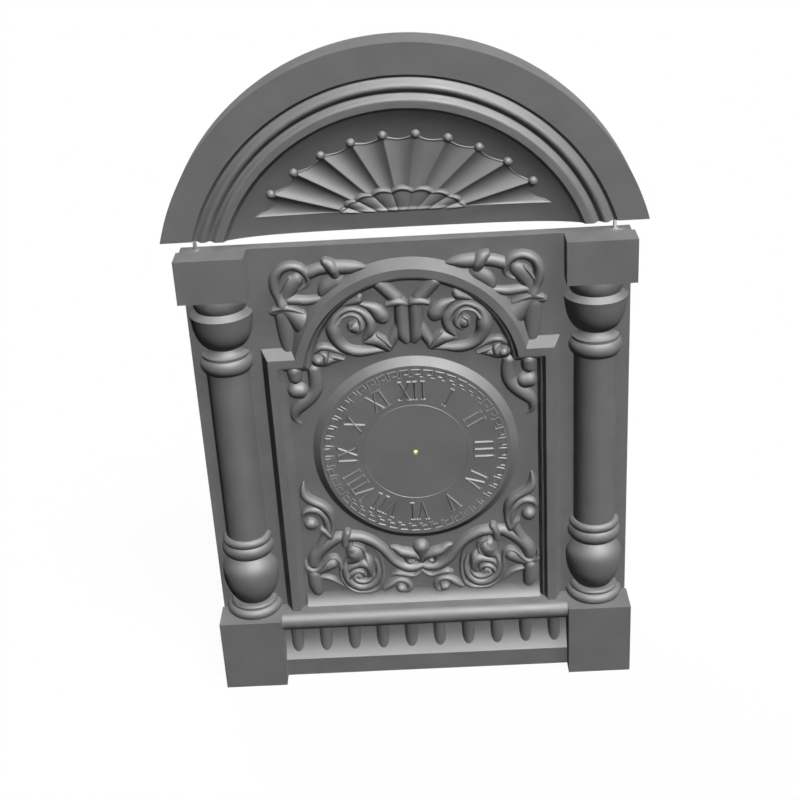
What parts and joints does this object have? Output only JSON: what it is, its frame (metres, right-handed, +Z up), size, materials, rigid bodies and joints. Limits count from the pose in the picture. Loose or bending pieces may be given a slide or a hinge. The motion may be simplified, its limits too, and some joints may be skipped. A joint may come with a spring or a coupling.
{
  "type": "shelf clock",
  "caption": "Round-arched shelf clock with split-turned columns, carved scroll front, fan pediment that lifts off, hinged back door and a rear-wound pendulum movement.",
  "frame": {"origin": "middle of the case's bounding box, on the surface that the clock stands on", "axes": "+Z up, +Y from the dial into the case, +X to the right as seen from the front"},
  "size_m": [0.306, 0.1172, 0.4452],
  "materials": {
    "painted_wood": "matte grey paint",
    "dial_paint": "matte grey paint",
    "brass": "satin",
    "steel": "polished"
  },
  "bodies": {
    "case": {"front_panel": "painted_wood", "plinth_blocks": "painted_wood", "capital_blocks": "painted_wood", "column_left": "painted_wood", "column_right": "painted_wood", "dial_frame": "painted_wood", "frame_slip": "painted_wood", "sill_moulding": "painted_wood", "torus_moulding": "painted_wood", "cove_rail": "painted_wood", "base_tongues": "painted_wood", "spandrel_scroll_left": "painted_wood", "spandrel_scroll_right": "painted_wood", "crest_scroll_left": "painted_wood", "crest_scroll_right": "painted_wood", "side_leaves": "painted_wood", "lower_scroll_left": "painted_wood", "lower_scroll_right": "painted_wood", "lower_fleuron": "painted_wood", "side_left": "painted_wood", "side_right": "painted_wood", "bottom_board": "painted_wood", "top_board": "painted_wood", "dial_bezel": "dial_paint", "dial_plate": "dial_paint", "dial_numerals": "dial_paint", "dial_key_border": "dial_paint", "hinge_case_leaves": "brass", "front_plate": "brass", "back_plate": "brass", "plate_pillars": "brass", "movement_feet": "brass", "suspension_cock": "brass", "hinge_pins": "steel", "turn_button_screw": "steel", "movement_screws": "steel"},
    "pediment": {"pediment_arch": "painted_wood", "tympanum": "painted_wood", "fan_shell": "painted_wood", "fan_palmette": "painted_wood", "fan_beads": "painted_wood", "pediment_dowels": "steel"},
    "back_door": {"back_door": "painted_wood", "hinge_door_leaves": "brass"},
    "turn_button": {"turn_button": "brass"},
    "minute_arbor": {"centre_arbor": "steel", "centre_wheel": "brass", "cannon_pinion": "steel"},
    "motion_wheel": {"motion_wheel": "brass"},
    "hour_wheel": {"hour_wheel": "brass"},
    "third_wheel": {"third_wheel": "brass"},
    "escape_wheel": {"escape_wheel": "brass"},
    "barrel": {"mainspring_barrel": "brass", "mainspring": "steel"},
    "winding_arbor": {"winding_arbor": "steel", "winding_key": "brass"},
    "anchor": {"anchor": "steel"},
    "pendulum": {"pendulum_rod": "steel", "pendulum_bob": "brass"}
  },
  "joints": [
    {"name": "pediment_lift", "type": "slide", "parent": "case", "child": "pediment", "axis": [0, 0, 1], "range_m": [0, 0.04]},
    {"name": "door_swing", "type": "hinge", "parent": "case", "child": "back_door", "pos_m": [0.1275, 0.05608, 0.145], "axis": [0, 0, -1], "range_deg": [0, 105]},
    {"name": "button_turn", "type": "hinge", "parent": "case", "child": "turn_button", "pos_m": [-0.134, 0.05522, 0.15], "axis": [0, 1, 0], "range_deg": [0, 90]},
    {"name": "minute_turn", "type": "hinge", "parent": "case", "child": "minute_arbor", "pos_m": [0, -0.00242, 0.1735], "axis": [0, 1, 0], "continuous": true},
    {"name": "motion_turn", "type": "hinge", "parent": "case", "child": "motion_wheel", "pos_m": [0, -0.00242, 0.1591], "axis": [0, 1, 0], "continuous": true},
    {"name": "hour_turn", "type": "hinge", "parent": "case", "child": "hour_wheel", "pos_m": [0, -0.00242, 0.1735], "axis": [0, 1, 0], "continuous": true},
    {"name": "third_turn", "type": "hinge", "parent": "case", "child": "third_wheel", "pos_m": [-0.011, -0.00242, 0.19255], "axis": [0, 1, 0], "continuous": true},
    {"name": "escape_turn", "type": "hinge", "parent": "case", "child": "escape_wheel", "pos_m": [0, -0.00242, 0.20623], "axis": [0, 1, 0], "continuous": true},
    {"name": "barrel_turn", "type": "hinge", "parent": "case", "child": "barrel", "pos_m": [0.03157, -0.00242, 0.16201], "axis": [0, 1, 0], "continuous": true},
    {"name": "winding_turn", "type": "hinge", "parent": "case", "child": "winding_arbor", "pos_m": [0.03157, -0.00242, 0.16201], "axis": [0, 1, 0], "continuous": true},
    {"name": "pendulum_swing", "type": "hinge", "parent": "case", "child": "pendulum", "pos_m": [0, -0.00242, 0.22353], "axis": [0, 1, 0], "range_deg": [-3.5, 3.5]},
    {"name": "anchor_swing", "type": "hinge", "parent": "case", "child": "anchor", "pos_m": [0, -0.00242, 0.22353], "axis": [0, 1, 0], "range_deg": [-3.5, 3.5]}
  ],
  "couplings": [
    {"joint": "motion_turn", "follows": "minute_turn", "ratio": -0.33333},
    {"joint": "hour_turn", "follows": "minute_turn", "ratio": 0.083333},
    {"joint": "third_turn", "follows": "minute_turn", "ratio": -10},
    {"joint": "escape_turn", "follows": "minute_turn", "ratio": 120},
    {"joint": "barrel_turn", "follows": "minute_turn", "ratio": -0.16667},
    {"joint": "anchor_swing", "follows": "pendulum_swing", "ratio": 1}
  ]
}
